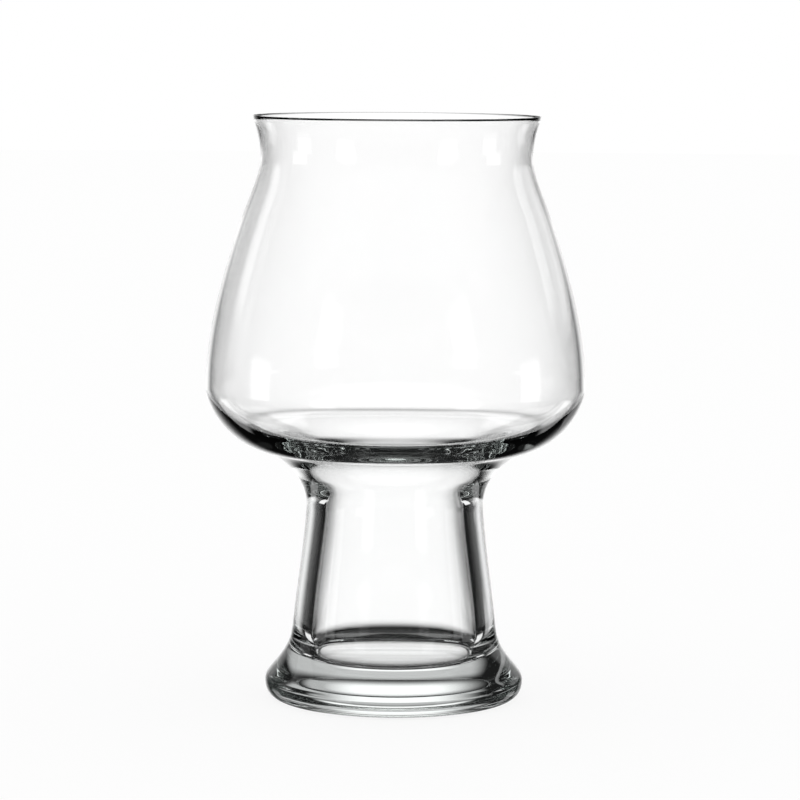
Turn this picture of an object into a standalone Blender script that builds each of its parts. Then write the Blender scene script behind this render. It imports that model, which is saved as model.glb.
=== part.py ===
"""Footed cider glass: a thin pear-shaped bowl on a thick hollow stem and a heavy foot, all clear glass.

The glass is a turned form. Its outer and inner outlines run through named stations on Bezier curves.
Two level seams part the form into the three pieces that a glassmaker names: the bowl, the stem and the foot.
"""
from collections import namedtuple
from math import cos, pi, radians, sin

import bpy
from mathutils import Vector
from mathutils.geometry import interpolate_bezier

MM = 0.001

# Heights that hang from the rim; a taller glass gets a longer stretch between belly and flank
GLASS_HEIGHT = 150.0 * MM
NECK_DROP = 10.8 * MM           # rim to the narrowest line of the neck
FLANK_DROP = 16.6 * MM          # neck to the steady slope of the flank

# Heights that stand on the table; each is the rise from the station below it
FOOT_EDGE_RISE = 4.4 * MM       # table to the widest line of the foot
CREASE_RISE = 9.7 * MM          # widest line of the foot to the crease under the stem
WAIST_RISE = 36.0 * MM          # crease to the narrowest line of the stem
SHOULDER_RISE = 14.5 * MM       # waist to the shoulder, where the stem spreads under the bowl
BELLY_RISE = 16.2 * MM          # shoulder to the widest line of the bowl

# Outer radii
RIM_RADIUS = 36.8 * MM
NECK_RADIUS = 34.8 * MM
FLANK_RADIUS = 40.1 * MM
BELLY_RADIUS = 48.8 * MM
SHOULDER_RADIUS = 34.8 * MM
WAIST_RADIUS = 22.8 * MM
CREASE_RADIUS = 27.2 * MM
FOOT_RADIUS = 33.4 * MM
STANDING_RADIUS = 29.7 * MM     # outer edge of the ring that stands on the table

# Wall thicknesses and the hollow inside
LIP_WALL = 1.2 * MM
NECK_WALL = 1.1 * MM
FLANK_WALL = 1.1 * MM
BELLY_WALL = 1.4 * MM
BOWL_FLOOR_RADIUS = 37.8 * MM   # where the bowl's side turns into its sloping floor
BOWL_FLOOR_WALL = 4.4 * MM      # straight up from the shoulder's level to that turn
THROAT_WALL = 5.0 * MM          # from the bowl seam's outer edge in to the throat
STEM_WALL = 4.9 * MM            # from the waist in to the narrowest line of the hollow
BORE_WAIST_RISE = 0.4 * MM      # the hollow is narrowest this far above the waist
STEM_FOOT_WALL = 4.3 * MM       # from the crease in to the hollow
HOLLOW_FLOOR = 9.1 * MM        # solid glass under the hollow, from the table up
HOLLOW_CORNER_RISE = 3.5 * MM   # height of the rounding between the hollow's wall and its floor
HOLLOW_CORNER_WIDTH = 2.3 * MM  # width of that rounding

# Underside of the foot
STANDING_WIDTH = 4.4 * MM
UNDERSIDE_RECESS = 0.5 * MM

# Seams
SEAM_DROP = 5.5 * MM            # shoulder down to the seam between bowl and stem
SEAM_GAP = 0.3 * MM             # clear space left in each seam

# Slopes of the outlines, in degrees from straight down; positive leans outwards
RIM_LEAN = -10
FLANK_LEAN = 18
SHOULDER_LEAN = -73
BOWL_FLOOR_LEAN = -72
THROAT_LEAN = -34
STEM_FOOT_LEAN = 7
FOOT_SLOPE = 32
RECESS_LEAN = -110
INWARD = -90
SQUARE_TURN = 90

# Facets
TURN_STEPS = 60
CURVE_POINTS = 6
LIP_POINTS = 5
MERGE_DISTANCE = 0.01 * MM

# Heights above the table
Z_FOOT_EDGE = FOOT_EDGE_RISE
Z_CREASE = Z_FOOT_EDGE + CREASE_RISE
Z_WAIST = Z_CREASE + WAIST_RISE
Z_SHOULDER = Z_WAIST + SHOULDER_RISE
Z_BELLY = Z_SHOULDER + BELLY_RISE
Z_RIM = GLASS_HEIGHT
Z_NECK = Z_RIM - NECK_DROP
Z_FLANK = Z_NECK - FLANK_DROP
Z_BOWL_SEAM = Z_SHOULDER - SEAM_DROP
Z_FOOT_SEAM = Z_CREASE

Station = namedtuple("Station", "place lean pull_before pull_after")


def station(radius, height, lean=0, before=0.35, after=0.35):
    """A place on an outline, the way the line runs there, and how far the curves keep to that way."""
    return Station(Vector((radius, height)), lean, before, after)


def heading(lean):
    """The direction that leans this many degrees from straight down."""
    return Vector((sin(radians(lean)), -cos(radians(lean))))


def outline(stations):
    """Points on the Bezier curves that run through the stations, top to bottom."""
    line = [stations[0].place]
    for upper, lower in zip(stations, stations[1:]):
        chord = (lower.place - upper.place).length
        leave = upper.place + heading(upper.lean) * upper.pull_after * chord
        arrive = lower.place - heading(lower.lean) * lower.pull_before * chord
        line += interpolate_bezier(upper.place, leave, arrive, lower.place, CURVE_POINTS)[1:]
    return line


def part_at(line, level):
    """A falling line parted at a level: its upper and lower points, each ending on the level."""
    first_below = next(i for i, point in enumerate(line) if point.y < level)
    high, low = line[first_below - 1], line[first_below]
    edge = high.lerp(low, (high.y - level) / (high.y - low.y))
    return line[:first_below] + [edge], [edge] + line[first_below:]


def outer_stations():
    """Outer outline of the bowl and stem, from the rim down to the crease above the foot."""
    return [
        station(RIM_RADIUS, Z_RIM - LIP_WALL / 2, RIM_LEAN, after=0.2),
        station(NECK_RADIUS, Z_NECK, before=0.48, after=0.24),
        station(FLANK_RADIUS, Z_FLANK, FLANK_LEAN, before=0.32, after=0.25),
        station(BELLY_RADIUS, Z_BELLY, before=0.37, after=0.17),
        station(SHOULDER_RADIUS, Z_SHOULDER, SHOULDER_LEAN, before=0.49, after=0.36),
        station(WAIST_RADIUS, Z_WAIST, after=0.16),
        station(CREASE_RADIUS, Z_CREASE, STEM_FOOT_LEAN, before=0.3),
    ]


def inner_stations(throat_radius):
    """Inner outline, from the lip down the bowl, through the throat and the hollow stem to its floor."""
    flank_in = Vector((FLANK_RADIUS, Z_FLANK)) - heading(FLANK_LEAN + SQUARE_TURN) * FLANK_WALL
    hollow_radius = CREASE_RADIUS - STEM_FOOT_WALL
    return [
        station(RIM_RADIUS - LIP_WALL, Z_RIM - LIP_WALL / 2, RIM_LEAN, after=0.2),
        station(NECK_RADIUS - NECK_WALL, Z_NECK, before=0.48, after=0.24),
        station(flank_in.x, flank_in.y, FLANK_LEAN, before=0.32, after=0.25),
        station(BELLY_RADIUS - BELLY_WALL, Z_BELLY, before=0.37, after=0.22),
        station(BOWL_FLOOR_RADIUS, Z_SHOULDER + BOWL_FLOOR_WALL, BOWL_FLOOR_LEAN, before=0.4, after=0.54),
        station(throat_radius, Z_BOWL_SEAM, THROAT_LEAN, before=0.32, after=0.44),
        station(WAIST_RADIUS - STEM_WALL, Z_WAIST + BORE_WAIST_RISE, before=0.36, after=0.22),
        station(hollow_radius, HOLLOW_FLOOR + HOLLOW_CORNER_RISE, before=0.29, after=0.39),
        station(hollow_radius - HOLLOW_CORNER_WIDTH, HOLLOW_FLOOR, INWARD, before=0.39),
    ]


def foot_stations():
    """Outer outline of the foot, from the crease down to the standing ring."""
    return [
        station(CREASE_RADIUS, Z_CREASE, FOOT_SLOPE, after=0.77),
        station(FOOT_RADIUS, Z_FOOT_EDGE, before=0.25, after=0.55),
        station(STANDING_RADIUS, 0, INWARD, before=0.34),
    ]


def lip_points():
    """The half-round top of the rim, from the inner wall over to the outer wall."""
    radius = LIP_WALL / 2
    centre = Vector((RIM_RADIUS - radius, Z_RIM - radius))
    turns = [pi * (1 - i / (LIP_POINTS + 1)) for i in range(1, LIP_POINTS + 1)]
    return [centre + Vector((cos(turn), sin(turn))) * radius for turn in turns]


def underside_points():
    """The flat standing ring and the shallow recess inside it, out to the axis."""
    recess = [
        station(STANDING_RADIUS - STANDING_WIDTH, 0, RECESS_LEAN),
        station(0, UNDERSIDE_RECESS, INWARD),
    ]
    return outline(recess)


def glass_material(piece_name):
    """Clear, colourless soda-lime glass with a fire-polished surface."""
    material = bpy.data.materials.new(piece_name + "_glass")
    material.use_nodes = True
    shader = material.node_tree.nodes["Principled BSDF"]
    shader.inputs["Base Color"].default_value = (0.96, 0.98, 0.97, 1.0)
    shader.inputs["Roughness"].default_value = 0.02
    shader.inputs["Metallic"].default_value = 0.0
    shader.inputs["IOR"].default_value = 1.52
    shader.inputs["Transmission Weight"].default_value = 1.0
    return material


def turned(name, profile, closed, collection, parent):
    """A solid of revolution: the profile, given down its outer side, swept once round the axis."""
    count = len(profile)
    edges = [(i, i + 1) for i in range(count - 1)]
    if closed:
        edges.append((count - 1, 0))
    mesh = bpy.data.meshes.new(name)
    mesh.from_pydata([(point.x, 0, point.y) for point in profile], edges, [])
    mesh.materials.append(glass_material(name))
    piece = bpy.data.objects.new(name, mesh)
    collection.objects.link(piece)
    piece.parent = parent
    screw = piece.modifiers.new("turn", "SCREW")
    screw.axis = "Z"
    screw.angle = 2 * pi
    screw.steps = TURN_STEPS
    screw.render_steps = TURN_STEPS
    screw.use_merge_vertices = True
    screw.merge_threshold = MERGE_DISTANCE
    screw.use_smooth_shade = True
    return piece


def brimful_millilitres(inner):
    """The capacity to the rim: a stack of cone slices up the inner outline."""
    slices = zip(inner, inner[1:])
    volume = sum(pi / 3 * (a.y - b.y) * (a.x ** 2 + a.x * b.x + b.x ** 2) for a, b in slices)
    return volume * 1e6


def build():
    for old in list(bpy.data.objects):
        bpy.data.objects.remove(old)
    collection = bpy.data.collections.new("cider_glass")
    bpy.context.scene.collection.children.link(collection)
    root = bpy.data.objects.new("cider_glass_origin", None)
    collection.objects.link(root)

    outer = outline(outer_stations())
    seam_edge = part_at(outer, Z_BOWL_SEAM)[1][0]
    inner = outline(inner_stations(seam_edge.x - THROAT_WALL))

    half_gap = SEAM_GAP / 2
    bowl_outer = part_at(outer, Z_BOWL_SEAM + half_gap)[0]
    bowl_inner = part_at(inner, Z_BOWL_SEAM + half_gap)[0]
    bowl = bowl_outer + bowl_inner[::-1] + lip_points()
    turned("bowl", bowl, True, collection, root)

    stem_outer = part_at(part_at(outer, Z_BOWL_SEAM - half_gap)[1], Z_FOOT_SEAM + half_gap)[0]
    stem_inner = part_at(part_at(inner, Z_BOWL_SEAM - half_gap)[1], Z_FOOT_SEAM + half_gap)[0]
    stem = stem_outer + stem_inner[::-1]
    turned("stem", stem, True, collection, root)

    foot_outer = part_at(outline(foot_stations()), Z_FOOT_SEAM - half_gap)[1]
    foot_inner = part_at(inner, Z_FOOT_SEAM - half_gap)[1]
    foot = [Vector((0, HOLLOW_FLOOR))] + foot_inner[::-1] + foot_outer + underside_points()
    turned("foot", foot, False, collection, root)

    print(f"height {Z_RIM / MM:.1f} mm, belly {2 * BELLY_RADIUS / MM:.1f} mm across")
    print(f"brimful capacity {brimful_millilitres(inner):.0f} ml")


build()
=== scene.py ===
# %% [markdown]
# A footed cider glass: a thin pear-shaped bowl that opens into a thick hollow stem, on a heavy foot.
# All of it is one clear, colourless glass, so there is no colour to paint. What the eye sees is the
# room behind the glass, bent by its walls. The lesson therefore spends its care on two things: the
# exact outlines of the walls, and a simple studio that those walls can bend.

# %% Load the solid model as a fixed frame
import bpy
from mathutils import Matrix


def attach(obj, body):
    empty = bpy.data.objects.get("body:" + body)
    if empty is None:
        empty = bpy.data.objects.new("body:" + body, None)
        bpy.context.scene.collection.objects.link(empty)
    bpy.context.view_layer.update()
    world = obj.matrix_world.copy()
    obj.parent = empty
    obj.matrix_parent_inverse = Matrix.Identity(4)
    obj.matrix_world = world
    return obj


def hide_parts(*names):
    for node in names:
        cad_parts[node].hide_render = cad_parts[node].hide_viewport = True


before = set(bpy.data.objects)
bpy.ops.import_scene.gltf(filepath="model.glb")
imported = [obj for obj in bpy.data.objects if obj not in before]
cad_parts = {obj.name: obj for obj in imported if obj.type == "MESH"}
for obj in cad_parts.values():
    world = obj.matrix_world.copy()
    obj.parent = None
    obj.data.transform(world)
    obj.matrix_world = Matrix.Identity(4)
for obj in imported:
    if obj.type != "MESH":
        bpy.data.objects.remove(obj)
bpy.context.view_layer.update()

from collections import namedtuple
from math import cos, degrees, pi, radians, sin, tan

import bmesh
import bpy
from mathutils import Vector
from mathutils.geometry import interpolate_bezier

MM = 0.001

# %% [markdown]
# The camera stands off with a long lens, as for a catalogue picture. Its eye is just above the rim, so
# the rim shows as a thin ellipse and the foot is seen from above: that is why the floor of the
# hollow stem shows as an ellipse too. The glass stands a hair out of plumb in the picture, so the camera
# is rolled by a third of a degree, and a small lens shift puts the axis where the picture has it.

# %% The camera
CAMERA_DISTANCE = 864.5 * MM
CAMERA_HEIGHT = 171.4 * MM
CAMERA_DIP = 6.23
CAMERA_ROLL = 0.35
CAMERA_LENS = 152.0
CAMERA_SENSOR = 36.0
AXIS_SHIFT = 0.003

camera = bpy.data.cameras.new("catalogue_camera")
camera.lens = CAMERA_LENS
camera.sensor_width = CAMERA_SENSOR
camera.shift_x = AXIS_SHIFT
camera_stand = bpy.data.objects.new("catalogue_camera", camera)
camera_stand.location = (0, -CAMERA_DISTANCE, CAMERA_HEIGHT)
camera_stand.rotation_euler = (radians(90 - CAMERA_DIP), radians(-CAMERA_ROLL), 0)
bpy.context.scene.collection.objects.link(camera_stand)
bpy.context.scene.camera = camera_stand
print("camera at", tuple(round(c, 3) for c in camera_stand.location), "dips", CAMERA_DIP, "degrees")

# %% [markdown]
# A turned form is drawn as half a section. A glassmaker's drawing gives a few stations, each a radius
# at a height, and the slope of the wall there, and a fair curve joins them. Bezier curves do just
# that: the slope and a pull at each end set how the curve leaves and arrives. Few stations keep the
# wall free of waves, which matters, because a wave in clear glass shows as a stripe. The thick walls
# below the belly bend the view most, so the curves there get about three times as many points.

# %% Fair curves through stations
FEW_POINTS, MANY_POINTS = 13, 39
CALM_HEIGHT = 80.0 * MM
Station = namedtuple("Station", "place lean pull_before pull_after")


def station(radius, height, lean=0, before=0.35, after=0.35):
    """A place on the section in millimetres, with the wall's slope in degrees from straight down."""
    return Station(Vector((radius, height)) * MM, lean, before, after)


def heading(lean):
    """The direction that leans this many degrees outwards from straight down."""
    return Vector((sin(radians(lean)), -cos(radians(lean))))


def fair_line(stations):
    """Points on the curves that run down through the stations."""
    line = [stations[0].place]
    for upper, lower in zip(stations, stations[1:]):
        chord = (lower.place - upper.place).length
        points = FEW_POINTS if lower.place.y > CALM_HEIGHT else MANY_POINTS
        leave = upper.place + heading(upper.lean) * upper.pull_after * chord
        arrive = lower.place - heading(lower.lean) * lower.pull_before * chord
        line += interpolate_bezier(upper.place, leave, arrive, lower.place, points)[1:]
    return line


print("points on a curve:", FEW_POINTS, "above the belly,", MANY_POINTS, "below it")

# %% [markdown]
# The outer wall starts at the flared lip, draws in at the neck, swells to the belly, turns sharply
# under the bowl at the shoulder, and narrows to the waist of the stem. At the crease the stem meets
# the foot. Hot glass never keeps a sharp inside corner, so a short curve rounds the crease off: seen
# through the hollow, that rounding is the soft shade above the floor.

# %% The outer wall
LIP_WALL, LIP_EDGE, LIP_BEVEL = 0.45, 0.06, 37
RIM_RADIUS, Z_RIM, RIM_LEAN = 36.8, 150.0, -10
NECK_RADIUS, Z_NECK = 34.8, 139.2
FLANK_RADIUS, Z_FLANK, FLANK_LEAN = 40.1, 122.6, 18
BELLY_RADIUS, Z_BELLY = 48.8, 80.8
SHOULDER_RADIUS, Z_SHOULDER, SHOULDER_LEAN = 34.8, 64.6, -73
WAIST_RADIUS, Z_WAIST = 22.8, 50.1
CREASE_RADIUS, Z_CREASE = 26.8, 13.9
STEM_FOOT_LEAN, FOOT_SLOPE = 6, 38
ROUND_ABOVE, ROUND_BELOW = 6.0, 4.0
FOOT_RADIUS, Z_FOOT_EDGE = 33.4, 4.4
STANDING_RADIUS = 29.7
INWARD = -90

above_crease = CREASE_RADIUS - ROUND_ABOVE * tan(radians(STEM_FOOT_LEAN)), Z_CREASE + ROUND_ABOVE
below_crease = CREASE_RADIUS + ROUND_BELOW * tan(radians(FOOT_SLOPE)), Z_CREASE - ROUND_BELOW
outer_wall = fair_line([
    station(RIM_RADIUS, Z_RIM - LIP_EDGE, RIM_LEAN, after=0.2),
    station(NECK_RADIUS, Z_NECK, before=0.48, after=0.24),
    station(FLANK_RADIUS, Z_FLANK, FLANK_LEAN, before=0.32, after=0.25),
    station(BELLY_RADIUS, Z_BELLY, before=0.37, after=0.17),
    station(SHOULDER_RADIUS, Z_SHOULDER, SHOULDER_LEAN, before=0.49, after=0.36),
    station(WAIST_RADIUS, Z_WAIST, after=0.16),
    station(*above_crease, STEM_FOOT_LEAN, before=0.3, after=0.4),
    station(*below_crease, FOOT_SLOPE, before=0.4, after=0.52),
    station(FOOT_RADIUS, Z_FOOT_EDGE, before=0.27, after=0.55),
    station(STANDING_RADIUS, 0, INWARD, before=0.34),
])
print("outer wall:", len(outer_wall), "points")

# %% [markdown]
# The inner wall follows the outer one closely down the bowl, because the bowl is blown thin. Below the
# belly it stays behind, so the bottom of the bowl is several times thicker. That thick turn is what
# shows as the dark band under the bowl. Then it drops through the throat into the hollow of the stem.

# %% The inner wall
NECK_WALL, FLANK_WALL, BELLY_WALL = 0.7, 1.1, 1.4
BOWL_FLOOR_RADIUS, BOWL_FLOOR_WALL, BOWL_FLOOR_LEAN = 37.8, 4.4, -72
THROAT_RADIUS, THROAT_DROP, THROAT_LEAN = 21.5, 5.5, -34
STEM_WALL, BORE_WAIST_RISE, STEM_FOOT_WALL = 5.0, 0.4, 5.2
HOLLOW_FLOOR, HOLLOW_CORNER_RISE, HOLLOW_CORNER_WIDTH = 9.2, 2.5, 1.6

bevel_height = (LIP_WALL - LIP_EDGE) / tan(radians(LIP_BEVEL))
bevel_top = Z_RIM - LIP_EDGE / 3
flank_inside = Vector((FLANK_RADIUS, Z_FLANK)) - heading(FLANK_LEAN + 90) * FLANK_WALL
hollow_radius = CREASE_RADIUS - STEM_FOOT_WALL
inner_wall = fair_line([
    station(RIM_RADIUS - LIP_WALL, bevel_top - bevel_height, RIM_LEAN, after=0.2),
    station(NECK_RADIUS - NECK_WALL, Z_NECK, before=0.48, after=0.24),
    station(*flank_inside, FLANK_LEAN, before=0.32, after=0.25),
    station(BELLY_RADIUS - BELLY_WALL, Z_BELLY, before=0.37, after=0.22),
    station(BOWL_FLOOR_RADIUS, Z_SHOULDER + BOWL_FLOOR_WALL, BOWL_FLOOR_LEAN, before=0.4, after=0.54),
    station(THROAT_RADIUS, Z_SHOULDER - THROAT_DROP, THROAT_LEAN, before=0.32, after=0.44),
    station(WAIST_RADIUS - STEM_WALL, Z_WAIST + BORE_WAIST_RISE, before=0.36, after=0.22),
    station(hollow_radius, HOLLOW_FLOOR + HOLLOW_CORNER_RISE, before=0.29, after=0.39),
    station(hollow_radius - HOLLOW_CORNER_WIDTH, HOLLOW_FLOOR, INWARD, before=0.39),
])
print("inner wall:", len(inner_wall), "points")

# %% [markdown]
# The lip ends in a fine bevel on the inside, and its edge is barely rounded. This small slope decides
# how the rim looks: at the near rim it turns the view onto dark cloth, which draws a dark line, while
# the far rim nearly vanishes. The underside of the foot can't be seen in the picture. It is left flat,
# because a hollow under the foot would draw bright rings in it.

# %% The lip and the underside
BEVEL_POINTS = 8
EDGE_POINTS = 3

lip = []
for i in range(1, BEVEL_POINTS + 1):
    share = i / BEVEL_POINTS
    inset = LIP_WALL - (LIP_WALL - LIP_EDGE) * share
    lip.append(Vector((RIM_RADIUS - inset, bevel_top - bevel_height * (1 - share))) * MM)
edge_centre = Vector((RIM_RADIUS - LIP_EDGE, Z_RIM - LIP_EDGE))
for i in range(1, EDGE_POINTS + 1):
    angle = pi / 2 * (1 - i / (EDGE_POINTS + 1))
    lip.append((edge_centre + Vector((cos(angle), sin(angle))) * LIP_EDGE) * MM)
underside_middle = Vector((0, 0))
print("lip:", len(lip), "points, bevel", round(bevel_height, 2), "mm high")

# %% [markdown]
# The real glass is one fused body, so the section is spun as one closed skin: up the inside from the
# middle of the hollow's floor, over the lip, down the outside and under the foot back to the axis. A
# skin that closes on itself is what the renderer needs to tell glass from air. Only the top of the lip
# turns sharply: that ring is marked sharp, and all the rest is shaded smooth.

# %% Spin the section
TURN_STEPS = 192
MERGE_DISTANCE = 0.001 * MM
SHARP_TURN = radians(25)

floor_middle = Vector((0, HOLLOW_FLOOR * MM))
section = [floor_middle] + inner_wall[::-1] + lip + outer_wall + [underside_middle]
skin = bmesh.new()
corners = [skin.verts.new((point.x, 0, point.y)) for point in section]
profile = [skin.edges.new(pair) for pair in zip(corners, corners[1:])]
bmesh.ops.spin(
    skin,
    geom=corners + profile,
    cent=(0, 0, 0),
    axis=(0, 0, 1),
    angle=2 * pi,
    steps=TURN_STEPS,
    use_merge=True,
)
bmesh.ops.remove_doubles(skin, verts=skin.verts, dist=MERGE_DISTANCE)
bmesh.ops.recalc_face_normals(skin, faces=skin.faces)
for face in skin.faces:
    face.smooth = True
for edge in skin.edges:
    edge.smooth = edge.calc_face_angle(0) < SHARP_TURN
glass_mesh = bpy.data.meshes.new("cider_glass")
skin.to_mesh(glass_mesh)
skin.free()
glass = bpy.data.objects.new("cider_glass", glass_mesh)
bpy.context.scene.collection.objects.link(glass)
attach(glass, "root")
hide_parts("bowl", "stem", "foot")
print("glass:", len(glass_mesh.polygons), "faces")

# %% [markdown]
# Shader nodes are easier to read as sums. This small class wraps one socket, and each Python operator
# on it adds a Math node. Every other kind of node comes from one method, which sets the node's own
# settings first and then its sockets, either to a number or to a link.

# %% Sockets that can be added and multiplied


class Wire:
    """A socket in a node tree. Arithmetic on it adds Math nodes."""

    def __init__(self, tree, socket=None):
        self.tree = tree
        self.socket = socket

    def node(self, kind, settings, inputs, output=0):
        """A new node of this kind, with its settings, then its inputs; gives one of its outputs."""
        node = self.tree.nodes.new("ShaderNode" + kind)
        for name, setting in settings.items():
            setattr(node, name, setting)
        for name, given in inputs.items():
            if isinstance(given, Wire):
                self.tree.links.new(given.socket, node.inputs[name])
            else:
                node.inputs[name].default_value = given
        return Wire(self.tree, node.outputs[output] if node.outputs else None)

    def math(self, operation, first, second=0.0):
        return self.node("Math", {"operation": operation}, {0: first, 1: second})

    def __add__(self, other):
        return self.math("ADD", self, other)

    def __sub__(self, other):
        return self.math("SUBTRACT", self, other)

    def __rsub__(self, other):
        return self.math("SUBTRACT", other, self)

    def __mul__(self, other):
        return self.math("MULTIPLY", self, other)

    __radd__ = __add__
    __rmul__ = __mul__

    def larger(self, other):
        return self.math("MAXIMUM", self, other)

    def step(self, low, high):
        """A soft step from 0 at low to 1 at high; low may be the larger of the two."""
        settings = {"interpolation_type": "SMOOTHSTEP"}
        return self.node("MapRange", settings, {"Value": self, "From Min": low, "From Max": high})


def new_tree(owner):
    """An empty node tree on a material or world, as a wire without a socket."""
    owner.use_nodes = True
    owner.node_tree.nodes.clear()
    return Wire(owner.node_tree)


print("wires understand + - * and step")

# %% [markdown]
# Clear soda-lime glass needs few numbers: it lets light through, bends it by an index of 1.52, and
# takes a trace of red, so thick edges look cool. Two things keep it from looking like a formula. The
# blown and turned walls carry very faint rings and swellings, which go to a Bump node. And a washed
# glass is never evenly bright, so a broad, soft pattern moves the roughness by a hair.

# %% The glass finish
GLASS_INDEX = 1.52
GLASS_TINT, TINT_DENSITY = (0.72, 0.88, 0.82, 1.0), 3.0
RELIEF_STRENGTH, RELIEF_DEPTH = 0.008, 0.5 * MM
FILM_ROUGHNESS = 0.02

finish = bpy.data.materials.new("clear_glass")
tree = new_tree(finish)
place = tree.node("TexCoord", {}, {}, "Object")
swelling = tree.node("TexNoise", {}, {"Vector": place, "Scale": 45.0, "Detail": 1.0})
ring_place = tree.node("Mapping", {}, {"Vector": place, "Scale": (30.0, 30.0, 700.0)})
rings = tree.node("TexNoise", {}, {"Vector": ring_place, "Scale": 1.0, "Detail": 1.0})
relief = swelling * 0.3 + rings * 0.7
bump = tree.node("Bump", {}, {
    "Strength": RELIEF_STRENGTH,
    "Distance": RELIEF_DEPTH,
    "Height": relief,
})
film = tree.node("TexNoise", {}, {"Vector": place, "Scale": 20.0, "Detail": 3.0})
surface = tree.node("BsdfPrincipled", {}, {
    "Base Color": (1.0, 1.0, 1.0, 1.0),
    "Roughness": film.step(0.45, 0.8) * FILM_ROUGHNESS,
    "IOR": GLASS_INDEX,
    "Transmission Weight": 1.0,
    "Normal": bump,
})
body = tree.node("VolumeAbsorption", {}, {"Color": GLASS_TINT, "Density": TINT_DENSITY})
tree.node("OutputMaterial", {}, {"Surface": surface, "Volume": body})
glass_mesh.materials.append(finish)
print("finish:", finish.name, "with", len(finish.node_tree.nodes), "nodes")

# %% [markdown]
# The floor is a plain pale disc. To the camera most of its colour is plain white, and the rest is lit by
# the room, so that the glass still leaves a faint shadow where it stands. Rays that come through or off
# the glass pass the floor by, and so meet the cards of the studio that stand below the level.

# %% The floor
FLOOR_RADIUS = 4.0
FLOOR_DROP = 0.1 * MM
WHITE_SHARE = 0.88

disc = bmesh.new()
bmesh.ops.create_circle(disc, cap_ends=True, radius=FLOOR_RADIUS, segments=96)
bmesh.ops.translate(disc, verts=disc.verts, vec=(0, 0, -FLOOR_DROP))
floor_mesh = bpy.data.meshes.new("floor")
disc.to_mesh(floor_mesh)
disc.free()
floor = bpy.data.objects.new("floor", floor_mesh)
bpy.context.scene.collection.objects.link(floor)

paint = bpy.data.materials.new("pale_floor")
tree = new_tree(paint)
to_camera = tree.node("LightPath", {}, {}, "Is Camera Ray")
lit = tree.node("BsdfDiffuse", {}, {"Color": (0.9, 0.9, 0.9, 1.0)})
white = tree.node("Emission", {}, {"Color": (1.0, 1.0, 1.0, 1.0), "Strength": 1.0})
mixed = tree.node("MixShader", {}, {0: to_camera * WHITE_SHARE, 1: lit, 2: white})
tree.node("OutputMaterial", {}, {"Surface": mixed})
floor_mesh.materials.append(paint)
floor.visible_transmission = False
floor.visible_glossy = False
print("floor:", 2 * FLOOR_RADIUS, "m across")

# %% [markdown]
# Glass is photographed in a bright field: a white panel behind it, and dark cloth to both sides of the
# panel. Light from the panel comes straight through thin walls, and thick or steep walls bend the view
# onto the dark cloth, which draws the edges. Each card of this studio is a soft-edged patch of the
# world, placed by two angles: its turn from the middle of the back wall, and its rise above the level.

# %% Angles and cards in the studio
studio = bpy.data.worlds.new("bright_field_studio")
bpy.context.scene.world = studio
tree = new_tree(studio)
aim = tree.node("TexCoord", {}, {}, "Generated")
aim_x, aim_y, aim_z = [tree.node("SeparateXYZ", {}, {0: aim}, axis) for axis in "XYZ"]
turn = tree.math("ARCTAN2", aim_x, aim_y) * degrees(1)
aside = tree.math("ABSOLUTE", turn)
rise = tree.math("ARCSINE", aim_z) * degrees(1)


def card(across, middle, half, fade, low, low_fade, top, top_fade):
    """A soft-edged card, in degrees: across is turn for one card, or aside for a pair of them."""
    width = tree.math("ABSOLUTE", across - middle).step(half + fade, half)
    return width * rise.step(low - low_fade, low) * rise.step(top + top_fade, top)


print("cards are placed by turn and rise")

# %% [markdown]
# The back wall carries most of the picture: a panel that fades to the sides, a dimmer and crisper one
# low behind the stem, a broad glow above the level and a bright strip high up. Their places and sizes
# were found by trial, until the bands in the glass fell about where the picture has them. The number
# after each card is its strength.

# %% The back wall
back_panel = card(
    turn, middle=-0.9, half=8.9, fade=25.0, low=-16.4, low_fade=14.0, top=6.2, top_fade=1.1
) * 1.16
behind_stem = card(
    turn, middle=5.6, half=21.1, fade=7.0, low=-21.3, low_fade=1.9, top=-8.7, top_fade=4.3
) * 0.5
glow = card(
    turn, middle=9.0, half=35.6, fade=13.1, low=2.4, low_fade=1.0, top=12.0, top_fade=7.1
) * 0.56
high_strip = card(
    turn, middle=-0.1, half=21.4, fade=11.4, low=20.3, low_fade=5.0, top=32.2, top_fade=4.8
) * 1.17
back_wall = [back_panel, behind_stem, glow, high_strip]
print("cards on the back wall:", len(back_wall))

# %% [markdown]
# A softbox hangs high on the camera's side, a tall dim card stands on the left, as a window would, and
# another dim card lies low in front. They give the walls something to mirror.

# %% The softbox, the window and the front
SOFTBOX_START, SOFTBOX_FULL = 45.8, 51.3

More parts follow.
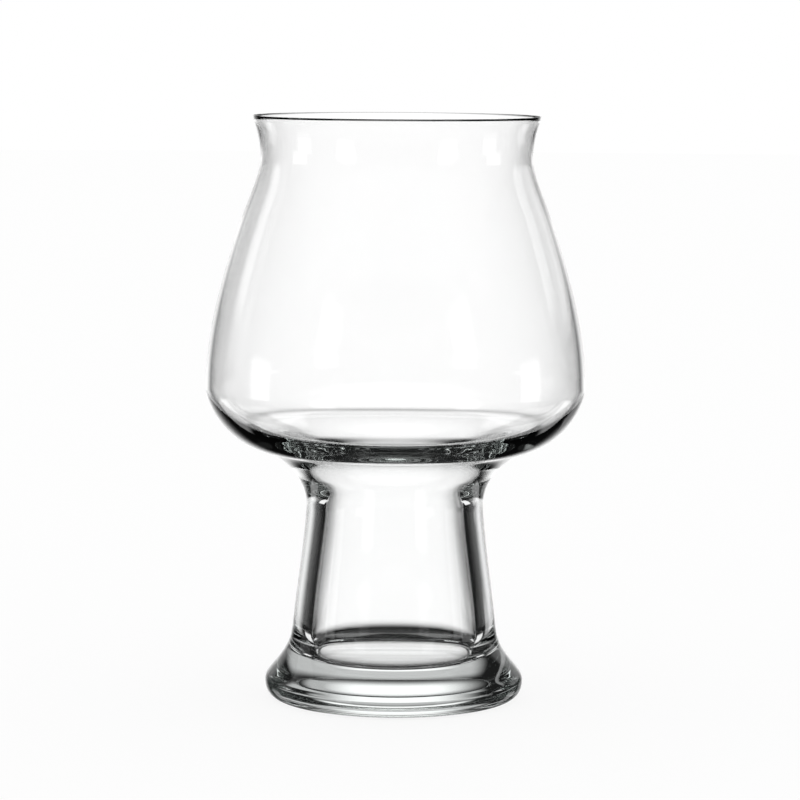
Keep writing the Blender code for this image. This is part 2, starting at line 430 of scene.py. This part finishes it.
softbox = rise.step(SOFTBOX_START, SOFTBOX_FULL) * aim_y.step(0.5, -0.5) * 1.28
left_window = card(
    turn, middle=-64.5, half=8.1, fade=3.2, low=6.0, low_fade=12.0, top=60.0, top_fade=10.0
) * 0.33
front_floor = card(
    aside, middle=180, half=80.0, fade=39.9, low=-64.2, low_fade=8.0, top=-34.0, top_fade=2.7
) * 0.2
mirrored = [softbox, left_window, front_floor]
print("cards for the walls to mirror:", len(mirrored))

# %% [markdown]
# All this suits one view only: from other sides, the same walls look onto dark cloth, and the glass looks
# smoked. Three pairs of small cards mend that for a camera at the side or at a corner, because each has
# a card behind the glass as seen from there. From places in between, the glass still shows dark: a room
# that is bright all round would be the better mend.

# %% Cards for the other views
SIDE_STRENGTH = 1.08

side_cards = card(
    aside, middle=90, half=7.0, fade=2.0, low=-9.5, low_fade=1.0, top=3.0, top_fade=1.0
) * SIDE_STRENGTH
back_corners = card(
    aside, middle=45, half=6.5, fade=2.0, low=-33.0, low_fade=4.0, top=-17.0, top_fade=4.0
) * SIDE_STRENGTH
front_corners = card(
    aside, middle=135, half=6.5, fade=2.0, low=-23.0, low_fade=4.0, top=-8.0, top_fade=4.0
) * SIDE_STRENGTH
other_views = [side_cards, back_corners, front_corners]
print("pairs of cards for the other views:", len(other_views))

# %% [markdown]
# The cards hang in a room of dark cloth. Only rays that come through or off the glass meet them: to the
# camera and to the floor the room is plain white. The floor is then lit the same from all sides, so the
# renderer needs no map of where the light is.

# %% The room
CLOTH = 0.012

room = back_panel.larger(CLOTH)
for patch in back_wall[1:] + mirrored + other_views:
    room = room.larger(patch)
off_glass = tree.node("LightPath", {}, {}, "Is Glossy Ray")
through_glass = tree.node("LightPath", {}, {}, "Is Transmission Ray")
by_glass = off_glass.larger(through_glass)
strength = 1.0 - by_glass + by_glass * room
sky = tree.node("Background", {}, {"Color": (1.0, 1.0, 1.0, 1.0), "Strength": strength})
tree.node("OutputWorld", {}, {"Surface": sky})
studio.cycles.sampling_method = "NONE"
print("studio:", len(studio.node_tree.nodes), "nodes")

# %% [markdown]
# A ray may cross many walls of this glass, and mirror off some, before it leaves, so the renderer is
# allowed more bounces than it takes by default.

# %% Finish
scene = bpy.context.scene
scene.view_settings.view_transform = "Standard"
scene.cycles.max_bounces = 24
scene.cycles.glossy_bounces = 16
scene.cycles.transmission_bounces = 24
